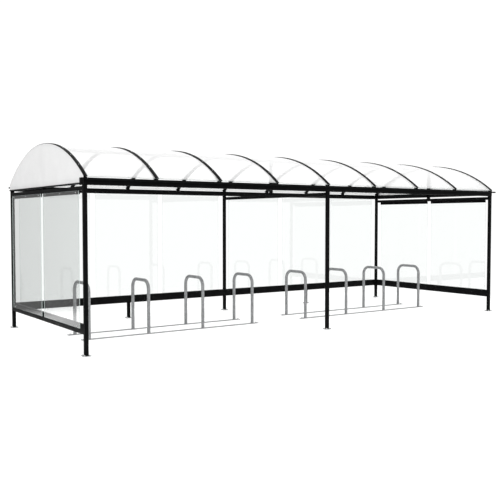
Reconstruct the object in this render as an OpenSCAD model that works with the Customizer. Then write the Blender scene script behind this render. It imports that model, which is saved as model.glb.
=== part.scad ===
// Open-fronted bike shelter with a barrel roof: a steel frame on six posts,
// nine arched roof ribs with clear sheets between them, clear wall panels
// on the back and both ends, and two floor racks of four hoops each.
// Millimetres. X runs along the shelter, Y from the open front to the back,
// Z up. The origin is on the ground at the middle of the footprint.

/* [Overall] */
// Distance between neighbouring roof ribs
rib_pitch = 964; // [700:1:1200]
// Front post centre to back post centre
frame_depth = 2880; // [2200:1:3400]
// Top of the front and back eaves beams
eaves_height = 2175; // [1900:1:2700]

/* [Frame sections] */
// Side of the square posts and width of the beams
post_size = 50; // [40:1:60]
// Depth of the front eaves beam
front_beam_h = 90; // [70:1:100]
// Depth of the back eaves beam
back_beam_h = 80; // [60:1:100]
// Depth of the cross beams between front and back posts
cross_beam_h = 50; // [40:1:80]
// Top of a cross beam below the top of the eaves beams
cross_beam_drop = 103; // [101:1:160]
// Depth of the beam behind the foot of each gable
gable_beam_h = 77; // [60:1:90]
// Height of the wall rails
rail_h = 121; // [80:1:160]
// Underside of the wall rails above the ground
rail_bottom = 263; // [150:1:400]

/* [Base plates] */
// Side of the square base plates
plate_size = 100; // [95:1:140]
// Thickness of the base plates
plate_t = 8; // [5:1:15]
// Distance between the bolt holes of a base plate
plate_hole_pitch = 74; // [72:1:78]
// Diameter of the bolt holes
plate_hole_d = 11; // [6:0.5:13]

/* [Roof] */
// Outer radius of the roof, over the cover caps
roof_r = 2410; // [2000:1:3200]
// Roof edge beyond the post centres
roof_overhang = 35; // [30:1:40]
// Where the underside of a rib meets the top of an eaves beam, beyond the
// post centres
rib_seat = 3; // [0:0.5:10]
// Width of a rib and its cover cap
rib_w = 50; // [40:1:60]
// Depth of the rib bar under the sheets
rib_bar_t = 25; // [15:1:40]
// Side of a foot block inside the side of its rib
foot_inset = 2; // [1:0.5:6]
// Thickness of the cover cap over the sheet edges
cap_t = 7; // [4:1:12]
// Thickness of the roof and gable sheets
sheet_t = 4; // [3:1:8]
// Thickness of the web that parts two roof sheets inside a rib
rib_web_t = 8; // [4:1:14]
// Gap between a roof sheet and the web beside it
sheet_gap = 1; // [0.5:0.5:3]
// Width of the drip flange on the outer face of each eaves beam
drip_w = 80; // [40:1:120]
// Height of the drip flange's outer lip
drip_h = 24; // [12:1:40]
// Thickness of the drip flange
drip_t = 3; // [2:0.5:6]
// Top of the drip flange below the top of the eaves beam
drip_drop = 11; // [5:1:20]
// Side of the square ridge purlin
purlin_size = 50; // [30:1:60]
// Height of the ledge under the gable sheet
sill_h = 17; // [10:1:25]
// Length of the cover plate over each front corner joint
corner_plate_l = 78; // [50:1:120]

/* [Wall panels] */
// Thickness of the clear wall panels
panel_t = 6; // [4:1:10]
// Thickness of the glazing strips behind the panels
strip_t = 6; // [3:1:10]
// Height of the glazing strips
strip_h = 40; // [20:1:45]
// Bottom edge of the wall panels above the ground
panel_bottom = 330; // [270:1:340]
// Top edge of an end panel below its cross beam
panel_top_gap = 4; // [2:1:20]
// Height of the hanger bars under the end cross beams
hanger_h = 46; // [40:1:70]
// Thickness of the hanger bars
hanger_t = 10; // [6:1:20]
// Gap between two wall panels
panel_gap = 92; // [10:1:120]
// Gap between a wall panel and the centre of the post beside it
panel_post_gap = 110; // [60:1:150]

/* [Racks] */
// Distance between the hoops of a rack
hoop_pitch = 920; // [700:1:950]
// Height of a hoop over the ground
hoop_height = 800; // [600:1:1000]
// Distance between the two legs of a hoop
hoop_width = 525; // [350:1:700]
// Outer diameter of the hoop tube
hoop_d = 48.3; // [33:0.1:55]
// Radius of a hoop's top bends, at the tube's centre
hoop_bend_r = 130; // [80:1:160]
// Width of the flat ground bars
foot_bar_w = 60; // [56:1:100]
// Thickness of the flat ground bars
foot_bar_t = 8; // [5:1:12]
// Ground bar beyond the outer hoops of a rack
foot_bar_over = 110; // [90:1:200]
// Diameter of the ground bars' bolt holes
foot_hole_d = 13; // [8:0.5:18]
// Bolt holes from the ends of the ground bars
foot_hole_inset = 35; // [20:1:45]
// Racks off the middle of their half of the shelter, along X
rack_shift_x = -39; // [-60:1:60]
// Racks off the shelter's middle, along Y
rack_shift_y = -30; // [-200:1:200]

/* [Hidden] */
$fn = 96;
// Roof bays, an even number so that a rib stands over the middle posts
bays = 8;
// Wall panels in each half of the back wall
back_panels = 3;
// Overlap that fuses two shapes into one solid
fuse = 1;
// Reach of a cutting shape beyond the surface it cuts
cut = 1;
half_l = bays * rib_pitch / 2;
half_d = frame_depth / 2;
half_post = post_size / 2;
// Length of the frame over the end posts
frame_l = 2 * half_l + post_size;
// Clear depth between the front and the back posts
clear_d = frame_depth - post_size;
// Radii about the roof's axis: underside of the cap, of a sheet, of a rib
slot_r = roof_r - cap_t;
sheet_r = slot_r - sheet_t;
rib_r = sheet_r - rib_bar_t;
// Height of the roof's axis, which seats the ribs on the eaves beams
arc_z = eaves_height - sqrt(pow(rib_r, 2) - pow(half_d + rib_seat, 2));
crown_z = arc_z + roof_r;
// Half of the angle that ribs and sheets span about the roof's axis
roof_half_angle = asin((half_d + roof_overhang) / roof_r);
purlin_top = arc_z + sqrt(pow(rib_r, 2) - pow(purlin_size / 2, 2));
cross_top = eaves_height - cross_beam_drop;
cross_bottom = cross_top - cross_beam_h;
gable_bottom = eaves_height - gable_beam_h;
sill_top = gable_bottom + sill_h;
back_beam_bottom = eaves_height - back_beam_h;
// Outside of the wall panels beyond the frame's outer face
panel_out = strip_t + panel_t;
panel_top_end = cross_bottom - panel_top_gap;
panel_top_back = back_beam_bottom + strip_h;
end_panel_w = (frame_depth - 2 * panel_post_gap - panel_gap) / 2;
back_panel_w = (half_l - 2 * panel_post_gap - (back_panels - 1) * panel_gap) / back_panels;
// Hoops of a rack: as many as half of the shelter takes
hoops = 1 + floor((half_l - 2 * foot_bar_over) / hoop_pitch);

// A box given by its middle in X and Y, its underside and its size
module bar(x, y, z, size) {
  translate([x - size[0] / 2, y - size[1] / 2, z]) cube(size);
}

// A post; i is -1, 0 or 1 along the shelter, side is -1 front or 1 back
module post(i, side) {
  beam_h = side < 0 ? front_beam_h : back_beam_h;
  color("#202224")
    bar(i * half_l, side * half_d, plate_t, [post_size, post_size, eaves_height - beam_h - plate_t]);
}

// A base plate with four bolt holes
module base_plate(x, y) {
  difference() {
    bar(x, y, 0, [plate_size, plate_size, plate_t]);
    for (dx = [-1, 1], dy = [-1, 1])
      translate([x + dx * plate_hole_pitch / 2, y + dy * plate_hole_pitch / 2, -cut])
        cylinder(d = plate_hole_d, h = plate_t + 2 * cut);
  }
}

// The plates under the six posts and under the two short back legs
module base_plates() {
  color("#b9bcbe") {
    for (i = [-1 : 1], side = [-1, 1]) base_plate(i * half_l, side * half_d);
    for (i = [-1, 1]) base_plate(i * half_l / 2, half_d);
  }
}

// A wall rail at one end, between the front and the back post
module end_rail(side) {
  color("#202224") bar(side * half_l, 0, rail_bottom, [post_size, clear_d, rail_h]);
}

// Half of the back rail, on a short leg at its middle
module back_rail(side) {
  color("#202224") {
    bar(side * half_l / 2, half_d, rail_bottom, [half_l - post_size, post_size, rail_h]);
    bar(side * half_l / 2, half_d, plate_t, [post_size, post_size, rail_bottom - plate_t]);
  }
}

// An eaves beam on top of the three posts of one side. The flange on its
// outer face catches what runs off the roof and lets it drip from its lip
module eaves_beam(side, h) {
  face = half_d + half_post;
  drip_top = eaves_height - drip_drop;
  color("#202224") {
    bar(0, side * half_d, eaves_height - h, [frame_l, post_size, h]);
    bar(0, side * (face + (drip_w - fuse) / 2), drip_top - drip_t, [frame_l, drip_w + fuse, drip_t]);
    bar(0, side * (face + drip_w - drip_t / 2), drip_top - drip_h, [frame_l, drip_t, drip_h]);
  }
}

// The square bar under the crown of the ribs
module ridge_purlin() {
  color("#202224")
    bar(0, 0, purlin_top - purlin_size, [frame_l, purlin_size, purlin_size]);
}

// Cross beam with its king post up to the ridge purlin
module cross_beam(i) {
  bar(i * half_l, 0, cross_bottom, [post_size, clear_d, cross_beam_h]);
  bar(i * half_l, 0, cross_top, [post_size, post_size, purlin_top - purlin_size - cross_top]);
}

// End frame: cross beam, gable beam, ledge, hanger bars and corner plate
module end_frame(side) {
  out = side * (half_l + half_post + panel_out / 2);
  hanger_x = side * (half_l + half_post - hanger_t / 2);
  color("#202224") {
    cross_beam(side);
    bar(side * half_l, 0, gable_bottom, [post_size, clear_d, gable_beam_h]);
    bar(out, (corner_plate_l + half_post) / 2, gable_bottom,
        [panel_out, frame_depth + half_post - corner_plate_l, sill_h]);
    bar(out, (corner_plate_l - frame_depth) / 2, eaves_height - front_beam_h,
        [panel_out, corner_plate_l, front_beam_h]);
    for (end = [-1, 1])
      bar(hanger_x, end * (panel_gap + end_panel_w) / 2, cross_bottom - hanger_h,
          [hanger_t, end_panel_w, hanger_h]);
  }
}

// A ring sector about the roof's axis; the profile's x is the radius
module arch(x, half_angle) {
  translate([x, 0, arc_z]) rotate([0, -90, 0]) rotate([0, 0, -half_angle])
    rotate_extrude(angle = 2 * half_angle, $fn = 240) children();
}

// Middle of a rib; the end ribs are flush with the frame's outer faces
function rib_x(i) = i * rib_pitch + (abs(i) == bays / 2 ? sign(i) * (half_post - rib_w / 2) : 0);

// Width range of a rib's web: one side is filled up on the end ribs
function web_from(i) = i == bays / 2 ? -rib_w / 2 : -rib_web_t / 2;
function web_to(i) = i == -bays / 2 ? rib_w / 2 : rib_web_t / 2;

// A roof rib: the arched bar, the web between two sheets and the cover cap,
// seated on both eaves beams by short wedge blocks
module roof_rib(i) {
  x = rib_x(i);
  color("#202224") {
    difference() {
      arch(x, roof_half_angle) {
        translate([rib_r, -rib_w / 2]) square([rib_bar_t, rib_w]);
        translate([sheet_r - fuse, web_from(i)])
          square([sheet_t + 2 * fuse, web_to(i) - web_from(i)]);
        translate([slot_r, -rib_w / 2]) square([cap_t, rib_w]);
      }
      for (side = [-1, 1])
        bar(x, side * half_d, eaves_height - front_beam_h, [rib_w + 2 * cut, post_size, front_beam_h]);
    }
    for (side = [-1, 1]) rib_foot(x, side);
  }
}

// The wedge block between an eaves beam and the underside of a rib
module rib_foot(x, side) {
  foot_w = rib_w - 2 * foot_inset;
  intersection() {
    bar(x, side * half_d, eaves_height, [foot_w, post_size, crown_z - eaves_height]);
    translate([x - rib_w / 2, 0, arc_z]) rotate([0, 90, 0]) cylinder(r = rib_r + fuse, h = rib_w);
  }
}

// A clear roof sheet from rib i to the next, just clear of both webs
module roof_sheet(i) {
  sheet_w = rib_x(i + 1) - rib_x(i) - rib_web_t - 2 * sheet_gap;
  color("#e6efee", 0.35)
    arch((rib_x(i) + rib_x(i + 1)) / 2, roof_half_angle)
      translate([sheet_r, -sheet_w / 2]) square([sheet_t, sheet_w]);
}

// The clear sheet that closes the end of the roof. Its front corner is cut
// out behind the corner plate
module gable_sheet(side) {
  face = half_l + half_post;
  reach = 2 * (sheet_t + cut);
  color("#e2e5e6", 0.7)
    difference() {
      intersection() {
        translate([side > 0 ? face : -face - sheet_t, 0, arc_z])
          rotate([0, 90, 0]) cylinder(r = slot_r, h = sheet_t, $fn = 240);
        bar(side * face, 0, sill_top, [reach, frame_depth + post_size, crown_z - sill_top]);
      }
      bar(side * face, corner_plate_l - frame_depth, sill_top - cut,
          [reach + 2 * cut, frame_depth, eaves_height - sill_top + cut]);
    }
}

// A wall panel: clear pane on two glazing strips. It is drawn in the XZ
// plane with its strips towards -Y and its foot at z = bottom
module pane(w, bottom, top) {
  translate([-w / 2, strip_t, bottom]) cube([w, panel_t, top - bottom]);
  for (z = [bottom, top - strip_h])
    translate([-w / 2, 0, z]) cube([w, strip_t + fuse, strip_h]);
}

// A panel on an end wall; end is -1 for the front one, 1 for the back one
module end_panel(side, end) {
  color("#d9e2e1", 0.35)
    translate([side * (half_l + half_post), end * (panel_gap + end_panel_w) / 2, 0])
      rotate([0, 0, side > 0 ? -90 : 90]) pane(end_panel_w, panel_bottom, panel_top_end);
}

// The three panels of one half of the back wall
module back_panel_row(side) {
  step = back_panel_w + panel_gap;
  color("#d9e2e1", 0.35)
    for (i = [0 : back_panels - 1])
      translate([side * half_l / 2 + (i - (back_panels - 1) / 2) * step, half_d + half_post, 0])
        pane(back_panel_w, panel_bottom, panel_top_back);
}

// A hoop: two legs, two bends and the top bar, open towards X
module hoop(x, y) {
  leg_top = hoop_height - hoop_d / 2 - hoop_bend_r;
  side_y = hoop_width / 2 - hoop_bend_r;
  translate([x, y, 0]) {
    for (side = [-1, 1]) {
      translate([0, side * hoop_width / 2, foot_bar_t])
        cylinder(d = hoop_d, h = leg_top - foot_bar_t, $fn = 48);
      translate([0, side * side_y, leg_top]) rotate([0, -90, 0])
        rotate([0, 0, side > 0 ? 0 : -90]) rotate_extrude(angle = 90, $fn = 48)
          translate([hoop_bend_r, 0]) circle(d = hoop_d);
    }
    translate([0, -side_y, leg_top + hoop_bend_r]) rotate([-90, 0, 0])
      cylinder(d = hoop_d, h = 2 * side_y, $fn = 48);
  }
}

// A floor rack: hoops welded to two flat ground bars
module bike_rack(side) {
  x = rack_shift_x + side * half_l / 2;
  bar_l = (hoops - 1) * hoop_pitch + 2 * foot_bar_over;
  color("#9b9ea1") {
    for (i = [0 : hoops - 1])
      hoop(x + (i - (hoops - 1) / 2) * hoop_pitch, rack_shift_y);
    for (leg = [-1, 1])
      difference() {
        bar(x, rack_shift_y + leg * hoop_width / 2, 0, [bar_l, foot_bar_w, foot_bar_t]);
        for (end = [-1, 1])
          translate([x + end * (bar_l / 2 - foot_hole_inset), rack_shift_y + leg * hoop_width / 2, -cut])
            cylinder(d = foot_hole_d, h = foot_bar_t + 2 * cut);
      }
  }
}

post(-1, -1);  // post_front_left
post(0, -1);  // post_front_middle
post(1, -1);  // post_front_right
post(-1, 1);  // post_back_left
post(0, 1);  // post_back_middle
post(1, 1);  // post_back_right
base_plates();
end_rail(-1);  // rail_left
end_rail(1);  // rail_right
back_rail(-1);  // rail_back_left
back_rail(1);  // rail_back_right
eaves_beam(-1, front_beam_h);  // eaves_beam_front
eaves_beam(1, back_beam_h);  // eaves_beam_back
ridge_purlin();
end_frame(-1);  // cross_frame_left
color("#202224") cross_beam(0);  // cross_frame_middle
end_frame(1);  // cross_frame_right
for (i = [1 : bays + 1])
  roof_rib(i - 1 - bays / 2);
for (i = [1 : bays])
  roof_sheet(i - 1 - bays / 2);
gable_sheet(-1);  // gable_sheet_left
gable_sheet(1);  // gable_sheet_right
end_panel(-1, -1);  // wall_panel_left_front
end_panel(-1, 1);  // wall_panel_left_back
end_panel(1, -1);  // wall_panel_right_front
end_panel(1, 1);  // wall_panel_right_back
back_panel_row(-1);  // wall_panels_back_left
back_panel_row(1);  // wall_panels_back_right
bike_rack(-1);  // bike_rack_left
bike_rack(1);  // bike_rack_right
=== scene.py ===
# %% [markdown]
# # An open-fronted bike shelter
# The shelter is a bolted steel frame: square posts, rectangular rails and
# beams, and nine arched ribs that clamp clear roof sheets between them. The
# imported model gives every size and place. This lesson dresses that frame:
# tubes get their rounded corners, glazing gets its thickness and edges, and
# the bolts, weld seams and rubber strips are added.

# %% Load the frame
import math

import bmesh
import bpy
from mathutils import Matrix, Vector


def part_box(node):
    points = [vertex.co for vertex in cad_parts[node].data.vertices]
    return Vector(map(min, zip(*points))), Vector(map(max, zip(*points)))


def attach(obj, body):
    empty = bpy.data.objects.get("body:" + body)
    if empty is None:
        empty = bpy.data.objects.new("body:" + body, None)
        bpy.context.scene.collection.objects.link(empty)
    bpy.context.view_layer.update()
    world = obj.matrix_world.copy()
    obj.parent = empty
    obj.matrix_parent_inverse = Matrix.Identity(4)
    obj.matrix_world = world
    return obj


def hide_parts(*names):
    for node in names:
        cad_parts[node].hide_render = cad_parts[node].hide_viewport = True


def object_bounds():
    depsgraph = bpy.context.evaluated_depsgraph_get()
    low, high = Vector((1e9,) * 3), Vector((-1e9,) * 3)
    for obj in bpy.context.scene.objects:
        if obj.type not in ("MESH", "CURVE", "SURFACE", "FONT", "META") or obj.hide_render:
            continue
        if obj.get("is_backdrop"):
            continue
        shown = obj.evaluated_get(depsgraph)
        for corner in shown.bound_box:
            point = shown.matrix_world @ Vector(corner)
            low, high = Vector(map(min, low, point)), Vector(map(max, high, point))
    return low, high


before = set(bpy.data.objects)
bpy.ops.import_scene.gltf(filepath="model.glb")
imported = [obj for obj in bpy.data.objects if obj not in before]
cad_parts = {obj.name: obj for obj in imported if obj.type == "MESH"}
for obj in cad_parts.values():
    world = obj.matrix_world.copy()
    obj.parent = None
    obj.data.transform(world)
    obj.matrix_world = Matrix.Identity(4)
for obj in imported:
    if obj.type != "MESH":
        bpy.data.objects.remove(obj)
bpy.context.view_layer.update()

# %% [markdown]
# ## The camera first
# A product view of a long shelter is taken from a person's eye height, off
# one front corner, with a fairly long lens so that the far end keeps its
# size. The place is given from the middle of the ground, and the turn as
# three angles, because that is how a photographer sets up a tripod head.

# %% Camera
CAMERA_PLACE = (-7.256, -9.846, 1.67)
CAMERA_TURN = (87.586, 0.0, -34.75)
CAMERA_LENS = 52.57

bpy.ops.object.camera_add(location=CAMERA_PLACE, rotation=[math.radians(a) for a in CAMERA_TURN])
camera = bpy.context.object
camera.name = "eye_height_camera"
camera.data.lens = CAMERA_LENS
bpy.context.scene.camera = camera
print("camera at", CAMERA_PLACE)

# %% [markdown]
# ## Shader maths as Python
# A material is a small graph. Writing `1 - mask * 0.5` is easier to read than
# three Math nodes wired by hand, so one class wraps a socket and turns each
# operator into its node. Every other node comes from `Graph.node`.


# %% A wrapped socket and a graph
class Wire:
    """A shader socket that adds, subtracts, multiplies and divides by making Math nodes."""

    def __init__(self, graph, socket):
        self.graph = graph
        self.socket = socket

    def _math(self, operation, first, second):
        return self.graph.node("ShaderNodeMath", {"operation": operation}, {0: first, 1: second})[0]

    def __add__(self, other):
        return self._math("ADD", self, other)

    def __radd__(self, other):
        return self._math("ADD", other, self)

    def __sub__(self, other):
        return self._math("SUBTRACT", self, other)

    def __rsub__(self, other):
        return self._math("SUBTRACT", other, self)

    def __mul__(self, other):
        return self._math("MULTIPLY", self, other)

    def __rmul__(self, other):
        return self._math("MULTIPLY", other, self)

    def __truediv__(self, other):
        return self._math("DIVIDE", self, other)

    def __rtruediv__(self, other):
        return self._math("DIVIDE", other, self)


class Graph:
    """The node tree of one material or world, built by calls."""

    def __init__(self, owner):
        self.owner = owner
        owner.use_nodes = True
        self.tree = owner.node_tree
        self.tree.nodes.clear()

    def node(self, kind, settings=None, inputs=None):
        """Add a node: settings first, then socket values or links. Returns its outputs as Wires."""
        made = self.tree.nodes.new(kind)
        for key, value in (settings or {}).items():
            if key == "stops":
                for stop, (place, shade) in zip(self._ramp(made, len(value)), value):
                    stop.position = place
                    stop.color = (*shade, 1.0) if len(shade) == 3 else shade
            else:
                setattr(made, key, value)
        for key, value in (inputs or {}).items():
            if isinstance(value, Wire):
                self.tree.links.new(value.socket, made.inputs[key])
            else:
                made.inputs[key].default_value = value
        return [Wire(self, socket) for socket in made.outputs]

    def _ramp(self, made, count):
        stops = made.color_ramp.elements
        while len(stops) < count:
            stops.new(1.0)
        return list(stops)

    def place(self):
        """Object coordinates, in metres, because every piece sits at the origin."""
        return self.node("ShaderNodeTexCoord")[3]

    def noise(self, size, detail=2.0, stretch=(1, 1, 1)):
        """Noise whose patches are about `size` metres across; stretch lengthens them."""
        spread = self.node("ShaderNodeMapping", {}, {"Vector": self.place(), "Scale": stretch})[0]
        return self.node("ShaderNodeTexNoise", {}, {"Vector": spread, "Scale": 1 / size, "Detail": detail})[0]

    def range(self, wire, low, high, start=0.0, end=1.0):
        """Map start..end of a wire onto low..high, clamped."""
        return self.node("ShaderNodeMapRange", {"clamp": True},
                         {0: wire, 1: start, 2: end, 3: low, 4: high})[0]

    def blend(self, mask, first, second):
        """Mix two colours by a mask."""
        return self.node("ShaderNodeMix", {"data_type": "RGBA"}, {0: mask, 6: first, 7: second})[2]

    def bump(self, height, depth):
        """A normal from a height in 0..1 that stands `depth` metres high."""
        return self.node("ShaderNodeBump", {}, {"Strength": 1.0, "Distance": depth, "Height": height})[0]

    def finish(self, shader):
        """Wire the shader to the material's output and return the material."""
        self.node("ShaderNodeOutputMaterial", {}, {"Surface": shader})
        return self.owner


print("shader helpers ready")

# %% [markdown]
# ## Black powder coat
# The frame is steel with a baked polyester powder coat. Its surface is never
# dead flat: the powder melts into a fine orange peel, about a millimetre and
# a half from crest to crest, and the sheen drifts a little along a bar. A
# faint film of dust lies on it. Painting all of that would need an image;
# two noises at the real sizes do it without one.

# %% Powder coat
BLACK = (0.0024, 0.0025, 0.0028, 1)
BLACK_DUSTY = (0.0062, 0.0062, 0.0060, 1)
PEEL_SIZE, PEEL_DEPTH = 0.0016, 0.00005
SHEEN_DRIFT_SIZE = 0.35
DUST_SIZE = 0.09
RIPPLE_SHARE, RIPPLE_DEPTH = 6.0, 0.0002


def make_powder_coat(name, ripple=0.0):
    """The black coat; ripple is the number of weld waves in a metre, or 0 for a plain bar."""
    g = Graph(bpy.data.materials.new(name))
    height = g.noise(PEEL_SIZE, 1.0)
    drift = g.noise(SHEEN_DRIFT_SIZE, 3.0)
    dust = g.range(g.noise(DUST_SIZE, 5.0), 0.0, 1.0, 0.52, 0.78)
    if ripple:
        waves = g.node("ShaderNodeTexWave", {"bands_direction": "DIAGONAL"},
                       {"Vector": g.place(), "Scale": ripple, "Distortion": 1.5})[1]
        height = height + waves * RIPPLE_SHARE
    shader = g.node("ShaderNodeBsdfPrincipled", {}, {
        "Base Color": g.blend(dust, BLACK, BLACK_DUSTY),
        "Roughness": g.range(drift, 0.46, 0.60, 0.3, 0.7) + dust * 0.08,
        "Specular IOR Level": 0.05,
        "Normal": g.bump(height, RIPPLE_DEPTH if ripple else PEEL_DEPTH),
    })[0]
    return g.finish(shader)


powder_coat = make_powder_coat("black_powder_coat")
coated_weld = make_powder_coat("coated_weld_seam", ripple=60.0)
print("made", powder_coat.name, "and", coated_weld.name)

# %% [markdown]
# ## Galvanised steel
# Base plates and racks are dipped in molten zinc. The zinc freezes into
# crystals, the spangle, each of which shines a little differently, and it
# weathers to a dull grey with chalky patches. Voronoi cells are the natural
# pattern for crystals that grew until they met.

# %% Galvanised steel
ZINC_DARK = (0.20, 0.205, 0.21, 1)
ZINC_LIGHT = (0.34, 0.345, 0.35, 1)
ZINC_CHALK = (0.55, 0.56, 0.56, 1)
WANDER_SIZE = 0.03
CHALK_SIZE = 0.16
CRYSTAL_DEPTH = 0.00012


def make_galvanised(name, spangle, dark, light):
    """Zinc whose crystals are `spangle` metres across and run from a dark to a light tone."""
    g = Graph(bpy.data.materials.new(name))
    wander = g.noise(WANDER_SIZE, 3.0)
    cell = g.node("ShaderNodeTexVoronoi", {}, {"Vector": g.place(), "Scale": 1 / spangle, "Randomness": 1.0})
    tone = g.node("ShaderNodeSeparateColor", {}, {0: cell[1]})[0]
    chalk = g.range(g.noise(CHALK_SIZE, 4.0), 0.0, 0.6, 0.5, 0.8)
    metal = g.blend(g.range(tone * 0.7 + wander * 0.3, 0.0, 1.0, 0.1, 0.9), dark, light)
    shader = g.node("ShaderNodeBsdfPrincipled", {}, {
        "Base Color": g.blend(chalk, metal, light),
        "Metallic": 1.0 - chalk * 0.55,
        "Roughness": g.range(tone, 0.36, 0.5) + chalk * 0.25,
        "Normal": g.bump(wander + tone * 0.4, CRYSTAL_DEPTH),
    })[0]
    return g.finish(shader)


galvanised_plate = make_galvanised("galvanised_plate", 0.012, ZINC_LIGHT, ZINC_CHALK)
galvanised_tube = make_galvanised("galvanised_tube", 0.016, ZINC_DARK, ZINC_LIGHT)
print("made", galvanised_plate.name, "and", galvanised_tube.name)

# %% [markdown]
# ## Bolts, rubber and plastic
# Anchors and screws are zinc plated, smoother and brighter than the dipped
# steel. The strips that the panels bed on are black rubber, matt and a
# little dusty, and the tube ends are closed with black plastic caps.


# %% Small finishes
def make_plated():
    """Bright zinc plating with a fine smear."""
    g = Graph(bpy.data.materials.new("zinc_plated_bolt"))
    smear = g.noise(0.004, 4.0)
    shader = g.node("ShaderNodeBsdfPrincipled", {}, {
        "Base Color": g.blend(smear, (0.52, 0.53, 0.54, 1), (0.70, 0.71, 0.70, 1)),
        "Metallic": 1.0,
        "Roughness": g.range(smear, 0.25, 0.42),
        "Normal": g.bump(smear, 0.00004),
    })[0]
    return g.finish(shader)


def make_dull_black(name, grain, low, high, tint):
    """Rubber or plastic with a grain of that size and a roughness between low and high."""
    g = Graph(bpy.data.materials.new(name))
    speck = g.noise(grain, 3.0)
    shader = g.node("ShaderNodeBsdfPrincipled", {}, {
        "Base Color": g.blend(g.range(speck, 0.0, 1.0, 0.45, 0.75), tint, (0.035, 0.035, 0.034, 1)),
        "Roughness": g.range(speck, low, high),
        "Specular IOR Level": 0.35,
        "Normal": g.bump(speck, grain * 0.05),
    })[0]
    return g.finish(shader)


plated_bolt = make_plated()
rubber = make_dull_black("glazing_rubber", 0.0025, 0.72, 0.9, (0.014, 0.014, 0.014, 1))
cap_plastic = make_dull_black("end_cap_plastic", 0.0011, 0.38, 0.5, (0.010, 0.010, 0.011, 1))
print("made", plated_bolt.name, rubber.name, cap_plastic.name)

# %% [markdown]
# ## Clear and hazy glazing
# A pane does two things: it lets most light through with a slight tint, and
# it mirrors more and more of its surroundings as it is seen edge on. A true
# glass shader would bend every ray twice and stay noisy, so each pane is a
# mix of a transparent and a glossy shader, by the Fresnel value of both its
# faces together, 2F / (1 + F). Only the face that light enters by reflects;
# the one it leaves by just tints. Haze is a share of milky white in the
# pane: part of its light glows through it, and the rest is scattered back.


# %% Glazing
SMUDGE_SIZE = 0.25
WAVE_DEPTH = 0.0005
HAZE_DRIFT = 0.03


def make_glazing(name, index, tint, haze, haze_tint, gloss, wave_size, through=0.5):
    """A pane: haze is the milky share, through the part of its light that glows through."""
    g = Graph(bpy.data.materials.new(name))
    smudge = g.noise(SMUDGE_SIZE, 4.0)
    wave = g.bump(g.noise(wave_size, 1.0), WAVE_DEPTH)
    once = g.node("ShaderNodeFresnel", {}, {"IOR": index})[0]
    entering = 1.0 - g.node("ShaderNodeNewGeometry")[6]
    mirror = g.node("ShaderNodeMath", {"operation": "MULTIPLY", "use_clamp": True},
                    {0: 2.0 * once / (once + 1.0), 1: entering})[0]
    clear = g.node("ShaderNodeBsdfTransparent", {}, {"Color": tint})[0]
    cloudy = g.node("ShaderNodeBsdfPrincipled", {}, {
        "Base Color": haze_tint,
        "Roughness": g.range(smudge, 0.5, 0.7),
        "Specular IOR Level": 0.0,
    })[0]
    glowing = g.node("ShaderNodeBsdfTranslucent", {}, {"Color": haze_tint})[0]
    milky = g.node("ShaderNodeMixShader", {}, {0: through, 1: cloudy, 2: glowing})[0]
    share = g.range(smudge, haze * (1 - HAZE_DRIFT), haze * (1 + HAZE_DRIFT), 0.3, 0.7)
    body = g.node("ShaderNodeMixShader", {}, {0: share, 1: clear, 2: milky})[0]
    shine = g.node("ShaderNodeBsdfPrincipled", {}, {
        "Base Color": (1, 1, 1, 1),
        "Metallic": 1.0,
        "Roughness": g.range(smudge, gloss, gloss * 1.8, 0.4, 0.8),
        "Normal": wave,
    })[0]
    return g.finish(g.node("ShaderNodeMixShader", {}, {0: mirror, 1: body, 2: shine})[0])


def make_pane_edge():
    """The ground edge of a pane, where the light that runs inside it comes out."""
    g = Graph(bpy.data.materials.new("pane_edge"))
    grind = g.noise(0.002, 3.0, stretch=(1, 1, 0.1))
    shader = g.node("ShaderNodeBsdfPrincipled", {}, {
        "Base Color": g.blend(grind, (0.55, 0.65, 0.62, 1), (0.68, 0.75, 0.73, 1)),
        "Roughness": g.range(grind, 0.18, 0.35),
        "Normal": g.bump(grind, 0.0001),
    })[0]
    return g.finish(shader)


wall_glass = make_glazing("wall_glass", index=1.52, tint=(0.953, 0.962, 0.958, 1), haze=0.015,
                          haze_tint=(0.9, 0.93, 0.92, 1), gloss=0.02, wave_size=0.6)
roof_clear = make_glazing("roof_clear", index=1.45, tint=(0.975, 0.977, 0.975, 1), haze=0.34,
                          haze_tint=(0.98, 0.98, 0.98, 1), gloss=0.05, wave_size=0.25)
gable_haze = make_glazing("gable_haze", index=1.35, tint=(0.93, 0.935, 0.935, 1), haze=0.96,
                          haze_tint=(0.985, 0.985, 0.985, 1), gloss=0.12, wave_size=0.3, through=0.12)
pane_edge = make_pane_edge()
print("made", wall_glass.name, roof_clear.name, gable_haze.name, pane_edge.name)

# %% [markdown]
# ## Working like a hand in edit mode
# Each operator acts on whatever is selected, and the loaded nodes and every
# fresh primitive arrive selected. So the helpers below always deselect, pick
# faces or edges by a rule on their place, and then call one operator. Faces
# are picked by a rule because a script can't click on them.


# %% Modelling helpers
NEAR = 1e-5


def only(piece):
    """Make this the one selected and active object."""
    bpy.ops.object.select_all(action="DESELECT")
    piece.select_set(True)
    bpy.context.view_layer.objects.active = piece


def settle(piece):
    """Move place, turn and scale into the mesh, so that the object sits at the origin."""
    only(piece)
    bpy.ops.object.transform_apply(location=True, rotation=True, scale=True)
    return piece


def fresh(add, name, **settings):
    """A new primitive with that name, made by the add operator as the only selected object."""
    bpy.ops.object.select_all(action="DESELECT")
    add(**settings)
    piece = bpy.context.object
    piece.name = piece.data.name = name
    return piece


def block(name, low, high):
    """A cube stretched over the box from low to high: the start of most pieces."""
    middle = [(a + b) / 2 for a, b in zip(low, high)]
    piece = fresh(bpy.ops.mesh.primitive_cube_add, name, size=1, location=middle)
    piece.scale = [b - a for a, b in zip(low, high)]
    return settle(piece)


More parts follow.
